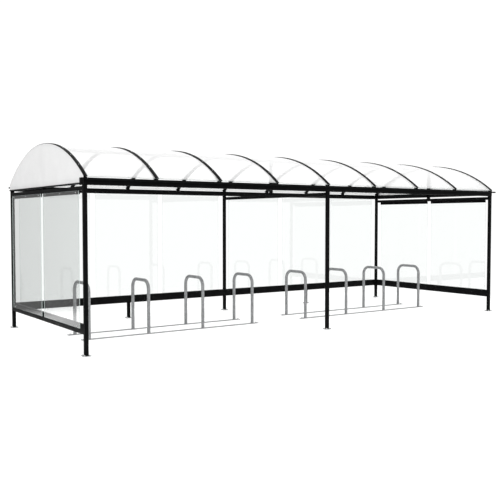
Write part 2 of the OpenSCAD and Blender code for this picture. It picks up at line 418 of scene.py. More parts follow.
def pick(piece, kind, rule):
    """In edit mode, select the faces or edges of the active piece that pass the rule."""
    bpy.ops.mesh.select_mode(type=kind)
    bpy.ops.mesh.select_all(action="DESELECT")
    mesh = bmesh.from_edit_mesh(piece.data)
    if kind == "FACE":
        for face in mesh.faces:
            face.select_set(rule(face.calc_center_median(), face.normal))
    else:
        for edge in mesh.edges:
            edge.select_set(rule(edge.verts[0].co, edge.verts[1].co))
    bmesh.update_edit_mesh(piece.data)


def round_edges(piece, rule, radius, segments=3):
    """Bevel the edges that pass the rule."""
    only(piece)
    bpy.ops.object.mode_set(mode="EDIT")
    pick(piece, "EDGE", rule)
    bpy.ops.mesh.bevel(offset=radius, segments=segments, affect="EDGES")
    bpy.ops.object.mode_set(mode="OBJECT")
    return piece


def along(axis):
    """A rule for edges: true for those that run along the axis."""
    def rule(a, b):
        step = b - a
        return abs(step[axis]) > 0.999 * step.length
    return rule


def smooth(piece, degrees=35):
    """Shade round stretches smooth and keep sharper corners crisp."""
    only(piece)
    bpy.ops.object.shade_smooth_by_angle(angle=math.radians(degrees))
    return piece


def give(piece, material, slot_name, *stands_for):
    """Hand a finished piece its finish, its ride and the CAD nodes it stands for."""
    if material:
        piece.data.materials.clear()
        piece.data.materials.append(material)
    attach(piece, "root")
    if stands_for:
        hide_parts(*stands_for)
    return piece


def join(name, parts):
    """Join several pieces into the first one."""
    bpy.ops.object.select_all(action="DESELECT")
    for part in parts:
        part.select_set(True)
    bpy.context.view_layer.objects.active = parts[0]
    bpy.ops.object.join()
    parts[0].name = parts[0].data.name = name
    return parts[0]


def copy_to(piece, spot):
    """A copy with its own mesh, taken to its place within the mesh by the matrix spot."""
    other = piece.copy()
    other.data = piece.data.copy()
    bpy.context.scene.collection.objects.link(other)
    other.data.transform(spot)
    return other


print("modelling helpers ready")

# %% [markdown]
# ## Square and rectangular tubes
# Posts, rails and beams are cold-rolled hollow sections. The rolls leave a
# round corner of about twice the wall, six millimetres here, and that corner
# is what catches the light. A cube with its four long edges bevelled has
# exactly that form. An open end shows the wall as a thin frame around a
# plastic cap, so both ends are inset by the wall and pushed in a little.

# %% Tube maker
TUBE_CORNER = 0.006
TUBE_WALL = 0.003
CAP_SUNK = 0.0015
CAP_STEP = 0.0002


def tube(name, low, high, axis, capped=False):
    """A tube along axis between two corners of its box; capped ends show wall and cap."""
    piece = block(name, low, high)
    round_edges(piece, along(axis), TUBE_CORNER, 4)
    if capped:
        piece.data.materials.append(powder_coat)
        piece.data.materials.append(cap_plastic)
        only(piece)
        bpy.ops.object.mode_set(mode="EDIT")
        pick(piece, "FACE", lambda middle, normal: abs(normal[axis]) > 0.99)
        bpy.ops.mesh.inset(thickness=TUBE_WALL, depth=0)
        bpy.ops.mesh.inset(thickness=CAP_STEP, depth=-CAP_SUNK)
        piece.active_material_index = 1
        bpy.ops.object.material_slot_assign()
        bpy.ops.object.mode_set(mode="OBJECT")
    return smooth(piece)


def black_tube(name, low, high, axis, *stands_for, capped=False):
    """A finished tube of the frame, in the place of the CAD nodes that follow axis."""
    return give(tube(name, low, high, axis, capped=capped), None if capped else powder_coat,
                "black_steel", *stands_for)


print("tube corner", TUBE_CORNER, "wall", TUBE_WALL)

# %% [markdown]
# ## Posts
# Six posts carry everything. Each is a plain square tube from its base plate
# to the eaves beam, so each takes its place straight from its CAD node.

# %% Posts
POSTS = [f"post_{side}_{place}" for side in ("front", "back") for place in ("left", "middle", "right")]
for node in POSTS:
    low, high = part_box(node)
    black_tube(f"{node}_tube", low, high, 2, node)
post_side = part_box(POSTS[0])[1].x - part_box(POSTS[0])[0].x
print(len(POSTS), "posts,", round(post_side, 3), "m square")

# %% [markdown]
# ## Rails
# The wall rails are a deeper section of the same width. The back rails also
# stand on a short leg at mid-span. A node's box covers rail and leg, so the
# leg's place is worked out: it is in the middle, one post wide, and runs
# from the plate up to the rail's underside, which the end rails give.

# %% Rails and short legs
rail_under, rail_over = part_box("rail_left")[0].z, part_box("rail_left")[1].z
for node in ("rail_left", "rail_right"):
    low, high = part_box(node)
    black_tube(f"{node}_tube", low, high, 1, node)
for node in ("rail_back_left", "rail_back_right"):
    low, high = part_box(node)
    middle = (low.x + high.x) / 2
    black_tube(f"{node}_tube", (low.x, low.y, rail_under), high, 0, node)
    black_tube(f"{node}_leg", (middle - post_side / 2, low.y, low.z),
               (middle + post_side / 2, high.y, rail_under), 2)
print("rails from", round(rail_under, 3), "to", round(rail_over, 3))

# %% [markdown]
# ## Eaves beams and ridge purlin
# The two eaves beams lie on the posts and run the whole length, so their
# ends are in plain sight and get end caps. The purlin under the crown keeps
# the ribs upright; its ends meet the gable sheets. A beam's node also covers
# its drip flange, so the tube's width is taken from the posts.

# %% Beams along the shelter
frame_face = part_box("post_back_left")[1].y
eaves_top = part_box("eaves_beam_front")[1].z
for place, side in (("front", -1), ("back", 1)):
    node = f"eaves_beam_{place}"
    low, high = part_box(node)
    y_low, y_high = sorted((side * (frame_face - post_side), side * frame_face))
    black_tube(f"{node}_tube", (low.x, y_low, low.z), (high.x, y_high, high.z), 0, node, capped=True)
black_tube("ridge_purlin_tube", *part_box("ridge_purlin"), 0, "ridge_purlin", capped=True)
print("eaves at", round(eaves_top, 3))

# %% [markdown]
# ## Drip flanges
# What runs off the roof falls on a flange along the outer face of each beam
# and drips from its turned-down lip. The real one is a strip of sheet folded
# once in a press. Here the bend comes first, as a short square bar; its two
# faces are then drawn out to the beam and down to the lip's edge, which
# keeps the whole strip one closed skin. The outside of the bend is rounded.

# %% Folded drip flanges
DRIP_HEIGHT = 0.024
DRIP_THICK = 0.003
DRIP_DROP = 0.011
DRIP_BEND = 0.0025
top = eaves_top - DRIP_DROP
for place, side in (("front", -1), ("back", 1)):
    low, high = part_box(f"eaves_beam_{place}")
    outer = high.y if side > 0 else low.y
    y_low, y_high = sorted((outer, outer - side * DRIP_THICK))
    flange = block(f"drip_flange_{place}", (low.x, y_low, top - DRIP_THICK), (high.x, y_high, top))
    only(flange)
    bpy.ops.object.mode_set(mode="EDIT")
    pick(flange, "FACE", lambda middle, normal: normal.y * side < -0.99)
    reach = abs(outer) - frame_face - DRIP_THICK
    bpy.ops.mesh.extrude_region_move(TRANSFORM_OT_translate={"value": (0, -side * reach, 0)})
    pick(flange, "FACE", lambda middle, normal: normal.z < -0.99 and abs(middle.y - outer) < DRIP_THICK)
    bpy.ops.mesh.extrude_region_move(TRANSFORM_OT_translate={"value": (0, 0, DRIP_THICK - DRIP_HEIGHT)})
    bpy.ops.object.mode_set(mode="OBJECT")
    round_edges(flange, lambda a, b: abs(a.y - outer) < NEAR and abs(b.y - outer) < NEAR
                and min(a.z, b.z) > top - NEAR, DRIP_BEND)
    give(smooth(flange), powder_coat, "black_steel")
print("drip flanges", round(reach + DRIP_THICK, 3), "m wide, top at", round(top, 3))

# %% [markdown]
# ## Cross frames
# At each row of posts a cross beam ties front to back, and a king post stands
# on it to hold the purlin. The two end frames also have a beam behind the
# foot of the gable, a thin ledge under the gable sheet, a cover plate over
# the front corner joint and two hanger bars for the wall panels. These are
# read from the neighbouring nodes: what stops at a panel takes its size from
# that panel.

# %% Cross beams and king posts
half_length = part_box("eaves_beam_front")[1].x - post_side / 2
purlin_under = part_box("ridge_purlin")[0].z
middle_low, middle_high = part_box("cross_frame_middle")
CROSS_DEPTH = 0.050
cross_under, cross_over = middle_low.z, middle_low.z + CROSS_DEPTH
for place, x in (("left", -half_length), ("middle", 0.0), ("right", half_length)):
    half = post_side / 2
    node = f"cross_frame_{place}"
    black_tube(f"cross_beam_{place}", (x - half, middle_low.y, cross_under),
               (x + half, middle_high.y, cross_over), 1, node)
    black_tube(f"king_post_{place}", (x - half, -half, cross_over), (x + half, half, purlin_under), 2)
print("cross beams", round(cross_under, 3), "to", round(cross_over, 3))

# %% Gable beams, ledges, hangers and corner plates
GABLE_BEAM_DEPTH = 0.077
gable_under = eaves_top - GABLE_BEAM_DEPTH
LEDGE_DEPTH = 0.017
CORNER_PLATE = 0.078
HANGER_THICK = 0.010
EDGE_BREAK = 0.0012
front_beam_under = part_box("eaves_beam_front")[0].z
for place, side in (("left", -1), ("right", 1)):
    node_low, node_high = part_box(f"cross_frame_{place}")
    face = side * (half_length + post_side / 2)
    outer = node_high.x if side > 0 else node_low.x
    half = post_side / 2
    black_tube(f"gable_beam_{place}", (side * half_length - half, middle_low.y, gable_under),
               (side * half_length + half, middle_high.y, eaves_top), 1)
    x_low, x_high = sorted((face, outer))
    plate_back = node_low.y + CORNER_PLATE
    ledge = block(f"gable_ledge_{place}", (x_low, plate_back, gable_under),
                  (x_high, node_high.y, gable_under + LEDGE_DEPTH))
    round_edges(ledge, along(1), EDGE_BREAK, 2)
    give(smooth(ledge), powder_coat, "black_steel")
    cover = block(f"corner_plate_{place}", (x_low, node_low.y, front_beam_under),
                  (x_high, plate_back, eaves_top))
    round_edges(cover, lambda a, b: abs(a.x - outer) < NEAR and abs(b.x - outer) < NEAR, EDGE_BREAK, 2)
    give(smooth(cover), powder_coat, "black_steel")
    for end in ("front", "back"):
        pane_low, pane_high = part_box(f"wall_panel_{place}_{end}")
        near, far = sorted((face, face - side * HANGER_THICK))
        bar = block(f"hanger_bar_{place}_{end}", (near, pane_low.y, node_low.z),
                    (far, pane_high.y, cross_under))
        round_edges(bar, along(1), EDGE_BREAK, 2)
        give(smooth(bar), powder_coat, "black_steel")
print("gable beams under", round(gable_under, 3))

# %% [markdown]
# ## Arches by spinning
# Ribs and roof sheets are parts of one circle, 2.41 metres in radius over
# the caps. Its axis lies that far under the crown, low inside the shelter,
# and the angle up to the caps' ends has a sine of their reach over the
# radius. A flat profile is set on the arc's start and spun once about that
# axis, as a bending roll draws the real rib round its circle.

# %% The roof's circle
cap_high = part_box("roof_rib_2")[1]
CAP_THICK = 0.007
SHEET_THICK = 0.004
RIB_BAR = 0.025
roof_radius = 2.410
axis_height = cap_high.z - roof_radius
cap_angle = math.asin(cap_high.y / roof_radius)
ARC_STEPS = 72


def arch(name, x_low, x_high, r_low, r_high, angle, rounding=0.0):
    """Spin a rectangle in the plane of the roof's axis from -angle to +angle."""
    radius = (r_low + r_high) / 2
    start = (
        (x_low + x_high) / 2,
        -radius * math.sin(angle),
        axis_height + radius * math.cos(angle),
    )
    piece = fresh(bpy.ops.mesh.primitive_plane_add, name, size=1, location=start,
                  rotation=(math.pi / 2 + angle, 0, 0))
    piece.scale = (x_high - x_low, r_high - r_low, 1)
    settle(piece)
    if rounding:
        only(piece)
        bpy.ops.object.mode_set(mode="EDIT")
        bpy.ops.mesh.select_all(action="SELECT")
        bpy.ops.mesh.bevel(offset=rounding, segments=2, affect="VERTICES")
        bpy.ops.object.mode_set(mode="OBJECT")
    only(piece)
    bpy.ops.object.mode_set(mode="EDIT")
    bpy.ops.mesh.select_all(action="SELECT")
    bpy.ops.mesh.spin(steps=ARC_STEPS, angle=2 * angle, center=(0, 0, axis_height), axis=(1, 0, 0))
    bpy.ops.mesh.select_all(action="SELECT")
    bpy.ops.mesh.remove_doubles(threshold=NEAR)
    bpy.ops.mesh.normals_make_consistent(inside=False)
    bpy.ops.object.mode_set(mode="OBJECT")
    return smooth(piece)


print("roof axis at", round(axis_height, 4), "caps reach", round(math.degrees(cap_angle), 2), "degrees")

# %% [markdown]
# ## Roof ribs
# A rib is three things in one: the arched bar underneath, a web that parts
# two sheets, and a cover cap that presses on both. Two wedge blocks seat the
# bar on the eaves beams. The parts are joined because they are one welded
# and coated piece. Rubber beads seal the cap's edges against the sheets.

# %% Ribs, wedges and beads
WEB_THICK = 0.008
CAP_ROUNDING = 0.0022
BAR_ROUNDING = 0.003
BEAD = 0.002
FOOT_INSET = 0.002
WEDGE_DROP = 0.96
slot_radius = roof_radius - CAP_THICK
sheet_radius = slot_radius - SHEET_THICK
rib_radius = sheet_radius - RIB_BAR
bar_angle = math.asin(frame_face / sheet_radius)


def wedge(name, x_low, x_high, side):
    """The block on an eaves beam under a rib: its outer top edge is pushed down onto the beam."""
    inner = frame_face - post_side
    seat = math.sqrt(rib_radius**2 - (eaves_top - axis_height) ** 2)
    rise = axis_height + math.sqrt(rib_radius**2 - inner**2) - eaves_top
    y_low, y_high = sorted((side * inner, side * seat))
    piece = block(name, (x_low, y_low, eaves_top), (x_high, y_high, eaves_top + rise))
    only(piece)
    bpy.ops.object.mode_set(mode="EDIT")
    outer = side * seat
    pick(piece, "EDGE", lambda a, b: min(a.z, b.z) > eaves_top + rise / 2
         and abs(a.y - outer) < NEAR and abs(b.y - outer) < NEAR)
    bpy.ops.transform.translate(value=(0, 0, -WEDGE_DROP * rise))
    bpy.ops.object.mode_set(mode="OBJECT")
    return piece


RIBS = sorted(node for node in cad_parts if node.startswith("roof_rib_"))
for node in RIBS:
    low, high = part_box(node)
    middle = (low.x + high.x) / 2
    first, last = node == RIBS[0], node == RIBS[-1]
    web_low = low.x if first else middle - WEB_THICK / 2
    web_high = high.x if last else middle + WEB_THICK / 2
    parts = [
        arch("bar", low.x, high.x, rib_radius, sheet_radius, bar_angle, BAR_ROUNDING),
        arch("web", web_low, web_high, sheet_radius, slot_radius, cap_angle),
        arch("cap", low.x, high.x, slot_radius, roof_radius, cap_angle, CAP_ROUNDING),
        wedge("wedge_front", low.x + FOOT_INSET, high.x - FOOT_INSET, -1),
        wedge("wedge_back", low.x + FOOT_INSET, high.x - FOOT_INSET, 1),
    ]
    give(join(f"{node}_arch", parts), powder_coat, "black_steel", node)
    edges = [x for x, sealed in ((low.x, not first), (high.x, not last)) if sealed]
    beads = [arch("bead", x - BEAD, x + BEAD, slot_radius, slot_radius + BEAD, cap_angle) for x in edges]
    give(join(f"{node}_beads", beads), rubber, "black_steel")
print(len(RIBS), "ribs, bar, web and cap from one circle")

# %% [markdown]
# ## Roof sheets
# Clear sheets four millimetres thick are bent over the ribs cold, so they
# take the same circle. Modelling the true thickness matters: the cut edge
# at the eaves and beside each web gathers light and shows as a pale line.

# %% Roof sheets
def edge_faces(piece, rule):
    """Give the faces that pass the rule the ground-edge finish, in the second slot."""
    piece.data.materials.append(pane_edge)
    for face in piece.data.polygons:
        if rule(face.center, face.normal):
            face.material_index = 1
    return piece


SHEETS = sorted(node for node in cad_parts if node.startswith("roof_sheet_"))
for node in SHEETS:
    low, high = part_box(node)
    sheet = arch(f"{node}_pane", low.x, high.x, sheet_radius, slot_radius, cap_angle)
    give(sheet, roof_clear, "roof_clear", node)
    edge_faces(sheet, lambda middle, normal: abs(normal.x) > 0.9 or abs(normal.y) > 0.7)
print(len(SHEETS), "roof sheets")

# %% [markdown]
# ## Gable sheets
# Each gable is one flat hazy sheet that stands on the ledge. The loaded node
# already has the true outline, with its front corner cut out behind the
# corner plate, so it stays and only gets its finish.

# %% Gable finish
for place in ("left", "right"):
    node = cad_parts[f"gable_sheet_{place}"]
    node.data.materials.clear()
    node.data.materials.append(gable_haze)
print("gables finished")

# %% [markdown]
# ## Wall panels
# A wall panel is a sheet of toughened glass that bears on two rubber strips,
# along its top and bottom. Its edges are ground and its arrises broken by
# almost a millimetre, or it would chip and cut. Each strip has three domed
# fixings, so the head is modelled first, together with the way to copy it:
# a model stands on the ground at the origin, and a matrix takes each copy of
# its mesh to its own place and turn.

# %% A domed head
HEAD_SIDES = 12


def button_head(name, radius, height):
    """A domed head on the ground at the origin, with its round socket sunk in."""
    piece = fresh(bpy.ops.mesh.primitive_cylinder_add, name, vertices=HEAD_SIDES, radius=radius,
                  depth=height, location=(0, 0, height / 2))
    settle(piece)
    round_edges(piece, lambda a, b: min(a.z, b.z) > height * 0.9, height * 0.75, 2)
    only(piece)
    bpy.ops.object.mode_set(mode="EDIT")
    pick(piece, "FACE", lambda middle, normal: normal.z > 0.99)
    bpy.ops.mesh.inset(thickness=radius * 0.12, depth=0)
    bpy.ops.mesh.inset(thickness=radius * 0.02, depth=-height * 0.45)
    bpy.ops.object.mode_set(mode="OBJECT")
    return smooth(piece)


print("heads have", HEAD_SIDES, "sides")


# %% Copies of a model
def set_copies(name, model, spots, material, slot_name):
    """Join one copy of the model for each matrix in spots into one piece, and drop the model."""
    copies = [copy_to(model, spot) for spot in spots]
    bpy.data.objects.remove(model)
    return give(join(name, copies), material, slot_name)


def facing(axis, side):
    """A turn that points the model's top along axis, to the side of -1 or 1."""
    if axis == 0:
        return Matrix.Rotation(side * math.pi / 2, 4, "Y")
    if axis == 1:
        return Matrix.Rotation(-side * math.pi / 2, 4, "X")
    return Matrix.Identity(4)


print("a copy that faces back points along", [round(v) for v in facing(1, 1) @ Vector((0, 0, 1))])

# %% [markdown]
# ## A panel and its strips
# The panel's box gives both: its outer layer is the pane and the rest, down
# to the frame, is the strips. The same code serves the end walls, which face
# along X, and the back wall, which faces along Y, by the number of the thin
# axis. Each back node holds three panes, so their width follows from the
# node's length and the gap between them.

# %% One wall panel
PANE_THICK = 0.006
STRIP_HEIGHT = 0.040
STRIP_EDGE = 0.0012
ARRIS = 0.0008
FIXING_INSET = 0.090
FIXINGS_A_STRIP = 3


def wall_panel(name, low, high, axis, side, *stands_for):
    """A pane on two strips. axis is the thin one, side the way out. Returns the fixings' spots."""
    outer = high[axis] if side > 0 else low[axis]
    seat = outer - side * PANE_THICK
    pane_low, pane_high = list(low), list(high)
    pane_low[axis], pane_high[axis] = sorted((outer, seat))
    pane = round_edges(block(f"{name}_pane", pane_low, pane_high), lambda a, b: True, ARRIS, 1)
    give(pane, wall_glass, "wall_clear", *stands_for)
    edge_faces(pane, lambda middle, normal: abs(normal[axis]) < 0.99)
    strips, spots = [], []
    run = 1 - axis
    inner = low[axis] if side > 0 else high[axis]
    for z in (low[2], high[2] - STRIP_HEIGHT):
        strip_low, strip_high = list(low), list(high)
        strip_low[axis], strip_high[axis] = sorted((inner, seat))
        strip_low[2], strip_high[2] = z, z + STRIP_HEIGHT
        strips.append(round_edges(block("strip", strip_low, strip_high), along(run), STRIP_EDGE, 2))
        for k in range(FIXINGS_A_STRIP):
            share = k / (FIXINGS_A_STRIP - 1)
            spot = [0, 0, z + STRIP_HEIGHT / 2]
            spot[axis] = outer
            spot[run] = low[run] + FIXING_INSET + share * (high[run] - low[run] - 2 * FIXING_INSET)
            spots.append(Matrix.Translation(spot) @ facing(axis, side))
    give(smooth(join(f"{name}_strips", strips)), rubber, "black_steel")
    return spots


print("a panel has", 2 * FIXINGS_A_STRIP, "fixings")

# %% All wall panels
PANES = 3
PANEL_GAP = 0.092
fixing_spots = []
for place, side in (("left", -1), ("right", 1)):
    for end in ("front", "back"):
        node = f"wall_panel_{place}_{end}"
        low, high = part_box(node)
        fixing_spots += wall_panel(node, tuple(low), tuple(high), 0, side, node)
    node = f"wall_panels_back_{place}"
    low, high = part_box(node)
    width = (high.x - low.x - (PANES - 1) * PANEL_GAP) / PANES
    for k in range(PANES):
        x = low.x + k * (width + PANEL_GAP)
        fixing_spots += wall_panel(f"{node}_{k + 1}", (x, low.y, low.z), (x + width, high.y, high.z),
                                   1, 1, node)
head = button_head("panel_fixing_model", radius=0.0065, height=0.0035)
set_copies("panel_fixings", head, fixing_spots, plated_bolt, "galvanised_plate")
print(len(fixing_spots), "panel fixings")

# %% [markdown]
# ## Cap screws
# The covers are drawn down onto the sheets by low button screws, one about
# every thirty centimetres along the arch. They are set by an angle about the
# roof's axis, and none stands on the crown itself.

# %% Screws along the caps
SCREW_ANGLE = 0.122
SCREW_SUNK = 0.0002
END_ANGLE = 0.01
count = int(cap_angle / SCREW_ANGLE + 0.5)
angles = [(k + 0.5) * SCREW_ANGLE for k in range(-count, count)]
up = Matrix.Translation((0, 0, roof_radius - SCREW_SUNK))
screw_spots = []
for node in RIBS:
    low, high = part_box(node)
    centre = Matrix.Translation(((low.x + high.x) / 2, 0, axis_height))
    screw_spots += [centre @ Matrix.Rotation(angle, 4, "X") @ up
                    for angle in angles if abs(angle) < cap_angle - END_ANGLE]
head = button_head("cap_screw_model", radius=0.0055, height=0.0026)
set_copies("cap_screws", head, screw_spots, plated_bolt, "galvanised_plate")
print(len(screw_spots), "cap screws")

# %% [markdown]
# ## Base plates and anchors
# A post is welded to a small galvanised plate and bolted to the ground. The
# plate's corners are rounded for shins and shoes, and its four holes are cut
# right through. One plate and one anchor are modelled and then copied.

# %% Base plates
PLATE_HOLE_PITCH = 0.074
PLATE_HOLE = 0.011
HOLE_SIDES = 24
PLATE_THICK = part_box("base_plates")[1].z
PLATE_SIDE = 0.100
PLATE_CORNER = 0.006
PLATE_EDGE = 0.0008


def drill(piece, spots, diameter, depth):
    """Cut round holes through a plate with a Boolean modifier and apply it."""
    for x, y in spots:
        cutter = fresh(bpy.ops.mesh.primitive_cylinder_add, "cutter", vertices=HOLE_SIDES,
                       radius=diameter / 2, depth=3 * depth, location=(x, y, depth / 2))
        only(piece)
        cut = piece.modifiers.new("hole", "BOOLEAN")
        cut.operation = "DIFFERENCE"
        cut.object = cutter
        bpy.ops.object.modifier_apply(modifier=cut.name)
        bpy.data.objects.remove(cutter)
    return piece


half = PLATE_SIDE / 2
plate = block("base_plate_model", (-half, -half, 0), (half, half, PLATE_THICK))
round_edges(plate, along(2), PLATE_CORNER, 3)
round_edges(plate, lambda a, b: min(a.z, b.z) > PLATE_THICK * 0.9, PLATE_EDGE, 1)
hole_spots = [(dx * PLATE_HOLE_PITCH / 2, dy * PLATE_HOLE_PITCH / 2) for dx in (-1, 1) for dy in (-1, 1)]
smooth(drill(plate, hole_spots, PLATE_HOLE, PLATE_THICK))
half_depth = frame_face - post_side / 2
feet = [(i * half_length, side * half_depth) for i in (-1, 0, 1) for side in (-1, 1)]
feet += [(side * half_length / 2, half_depth) for side in (-1, 1)]
plates = set_copies("base_plates_drilled", plate, [Matrix.Translation((x, y, 0)) for x, y in feet],
                    galvanised_plate, "galvanised_plate")
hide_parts("base_plates")
print(len(feet), "base plates")

# %% [markdown]
# ## Ground anchors
# What shows of an anchor is its washer, its nut and the end of its stud, in
# a little stack. All three are short prisms whose sizes are shares of the
# thread's diameter, each with its upper edge broken, so one loop builds the
# stack and the larger anchors of the racks come from the same function.


# %% Anchors
def anchor(name, thread):
    """Washer, nut and stud end of a ground anchor, on the ground at the origin."""
    parts = []
    level = 0.0
    washer = (20, thread, 0.2 * thread, 0.0004)
    nut = (6, 0.98 * thread, 0.8 * thread, 0.0008)
    stud = (12, 0.5 * thread, 0.5 * thread, 0.0012)
    for sides, radius, height, edge in (washer, nut, stud):
        ring = settle(fresh(bpy.ops.mesh.primitive_cylinder_add, "ring", vertices=sides, radius=radius,
                            depth=height, location=(0, 0, level + height / 2)))
        top = level + height
        round_edges(ring, lambda a, b: min(a.z, b.z) > top - NEAR, edge, 1)
        parts.append(ring)
        level = top
    return smooth(join(name, parts))


model = anchor("post_anchor_model", thread=0.010)
spots = [Matrix.Translation((x + dx, y + dy, PLATE_THICK)) for x, y in feet for dx, dy in hole_spots]
set_copies("post_anchors", model, spots, plated_bolt, "galvanised_plate")
print(len(spots), "post anchors")

# %% [markdown]
# ## Weld seams
# Where a tube stands on a plate or on another tube, a fillet weld runs round
# it: a little sloping skirt of metal under the same coat. A low block with
# its upper edges bevelled almost to its full height gives that slope, and
# the ripple left by the welder is in the finish.

# %% Weld skirts
WELD_LEG = 0.0045
WELD_SLOPE = 0.9


def weld(name, x, y, z, grow):
    """A skirt round a post-sized tube at x, y that starts at height z and goes up or down."""
    half = post_side / 2 + WELD_LEG
    z_low, z_high = sorted((z, z + grow * WELD_LEG))
    skirt = block(name, (x - half, y - half, z_low), (x + half, y + half, z_high))
    round_edges(skirt, along(2), TUBE_CORNER, 3)
    far = z + grow * WELD_LEG
    return round_edges(skirt, lambda a, b: abs(a.z - far) < NEAR and abs(b.z - far) < NEAR,
                       WELD_LEG * WELD_SLOPE, 2)


skirts = [weld("weld", x, y, PLATE_THICK, 1) for x, y in feet]
skirts += [weld("weld", x, 0, cross_over, 1) for x in (-half_length, 0, half_length)]
skirts += [weld("weld", side * half_length / 2, half_depth, rail_under, -1) for side in (-1, 1)]
give(smooth(join("weld_seams", skirts)), coated_weld, "black_steel")
print(len(skirts), "weld seams")

# %% [markdown]
# ## Frame bolts
# Rails and cross beams are bolted to the posts from outside, with domed
# heads coated like the frame. They sit in pairs up the height of a rail and
# singly at the thinner cross beams; four small ones hold each corner plate.

# %% Frame bolts
BOLT_EDGE = 0.030
rail_bolts = (rail_under + BOLT_EDGE, rail_over - BOLT_EDGE)
cross_middle = (cross_under + cross_over) / 2
bolt_spots = []
for x in (-half_length, half_length):
    for side in (-1, 1):
        for z in (*rail_bolts, cross_middle):
            bolt_spots.append(Matrix.Translation((x, side * frame_face, z)) @ facing(1, side))
    out = 1 if x > 0 else -1
    end_face = out * (half_length + post_side / 2)
    for z in rail_bolts:
        bolt_spots.append(Matrix.Translation((end_face, half_depth, z)) @ facing(0, out))
for side in (-1, 1):
    bolt_spots.append(Matrix.Translation((0, side * frame_face, cross_middle)) @ facing(1, side))
for z in rail_bolts:
    bolt_spots.append(Matrix.Translation((0, frame_face, z)) @ facing(1, 1))
head = button_head("frame_bolt_model", radius=0.009, height=0.0045)
set_copies("frame_bolts", head, bolt_spots, powder_coat, "black_steel")
print(len(bolt_spots), "frame bolts")

# %% Corner plate bolts
BOLT_FROM_SIDE = 0.014
BOLT_FROM_TOP = 0.016
plate_spots = []
for place, side in (("left", -1), ("right", 1)):
    node_low, node_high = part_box(f"cross_frame_{place}")
    outer = node_high.x if side > 0 else node_low.x
    for y in (node_low.y + BOLT_FROM_SIDE, node_low.y + CORNER_PLATE - BOLT_FROM_SIDE):
        for z in (front_beam_under + BOLT_FROM_TOP, eaves_top - BOLT_FROM_TOP):
            plate_spots.append(Matrix.Translation((outer, y, z)) @ facing(0, side))
head = button_head("corner_bolt_model", radius=0.005, height=0.0026)
set_copies("corner_plate_bolts", head, plate_spots, powder_coat, "black_steel")
print(len(plate_spots), "corner plate bolts")

# %% [markdown]
# ## Bike racks
# A rack is four hoops of galvanised tube welded to two flat ground bars. A
# tube bender makes a hoop from one length: straight leg, quarter turn, top,
# quarter turn, leg. The same steps work here: a filled circle is extruded
# up, spun through a quarter, extruded across, spun and extruded down.

# %% One hoop
TUBE_DIAMETER = 0.0483
TUBE_SIDES = 28
BEND_RADIUS = 0.130
BEND_STEPS = 14


def draw(x, y, z):
    """Extrude the selected end of the tube by that step."""
    bpy.ops.mesh.extrude_region_move(TRANSFORM_OT_translate={"value": (x, y, z)})


def quarter_turn(x, y, z):
    """Spin the selected end of the tube from -Y over the top towards +Y, round that centre."""
    bpy.ops.mesh.spin(steps=BEND_STEPS, angle=math.pi / 2, center=(x, y, z), axis=(1, 0, 0))


def hoop(name, x, y_near, y_far, z_low, z_high):
    """A closed bar bent like a hoop, from the foot at y_near to the foot at y_far."""
    bend_z = z_high - TUBE_DIAMETER / 2 - BEND_RADIUS
    piece = fresh(bpy.ops.mesh.primitive_circle_add, name, vertices=TUBE_SIDES,
                  radius=TUBE_DIAMETER / 2, fill_type="NGON", location=(x, y_near, z_low))
    settle(piece)
    bpy.ops.object.mode_set(mode="EDIT")
    bpy.ops.mesh.select_mode(type="FACE")
    bpy.ops.mesh.select_all(action="SELECT")
    draw(0, 0, bend_z - z_low)
    quarter_turn(x, y_near + BEND_RADIUS, bend_z)
    draw(0, y_far - y_near - 2 * BEND_RADIUS, 0)
    quarter_turn(x, y_far - BEND_RADIUS, bend_z)
    draw(0, 0, z_low - bend_z)
    bpy.ops.mesh.select_all(action="SELECT")
    bpy.ops.mesh.remove_doubles(threshold=NEAR)
    bpy.ops.mesh.normals_make_consistent(inside=False)
    bpy.ops.object.mode_set(mode="OBJECT")
    return smooth(piece, 50)


print("a hoop takes", 2 * BEND_STEPS, "bend steps")

# %% [markdown]
# ## Feet of the racks
# Each leg is welded to its ground bar all round, with a bead that is a thin
# ring half sunk in the bar. The bars are flat stock with broken upper edges
# and one anchor hole near each end, cut right through like those of the
# base plates.

# %% Both racks
HOOP_PITCH = 0.920
HOOPS = 4
BAR_WIDTH = 0.060
BAR_THICK = 0.008
BAR_EDGE = 0.0012
BAR_HOLE = 0.013
HOLE_INSET = 0.035
BEAD_RADIUS = 0.0035
BEAD_OUT = 0.0005


def hoop_weld(x, y, z):
    """The bead round the foot of a hoop's leg."""
    ring = fresh(bpy.ops.mesh.primitive_torus_add, "ring", major_segments=TUBE_SIDES, minor_segments=8,
                 location=(x, y, z), major_radius=TUBE_DIAMETER / 2 + BEAD_OUT, minor_radius=BEAD_RADIUS)
    return smooth(settle(ring), 60)


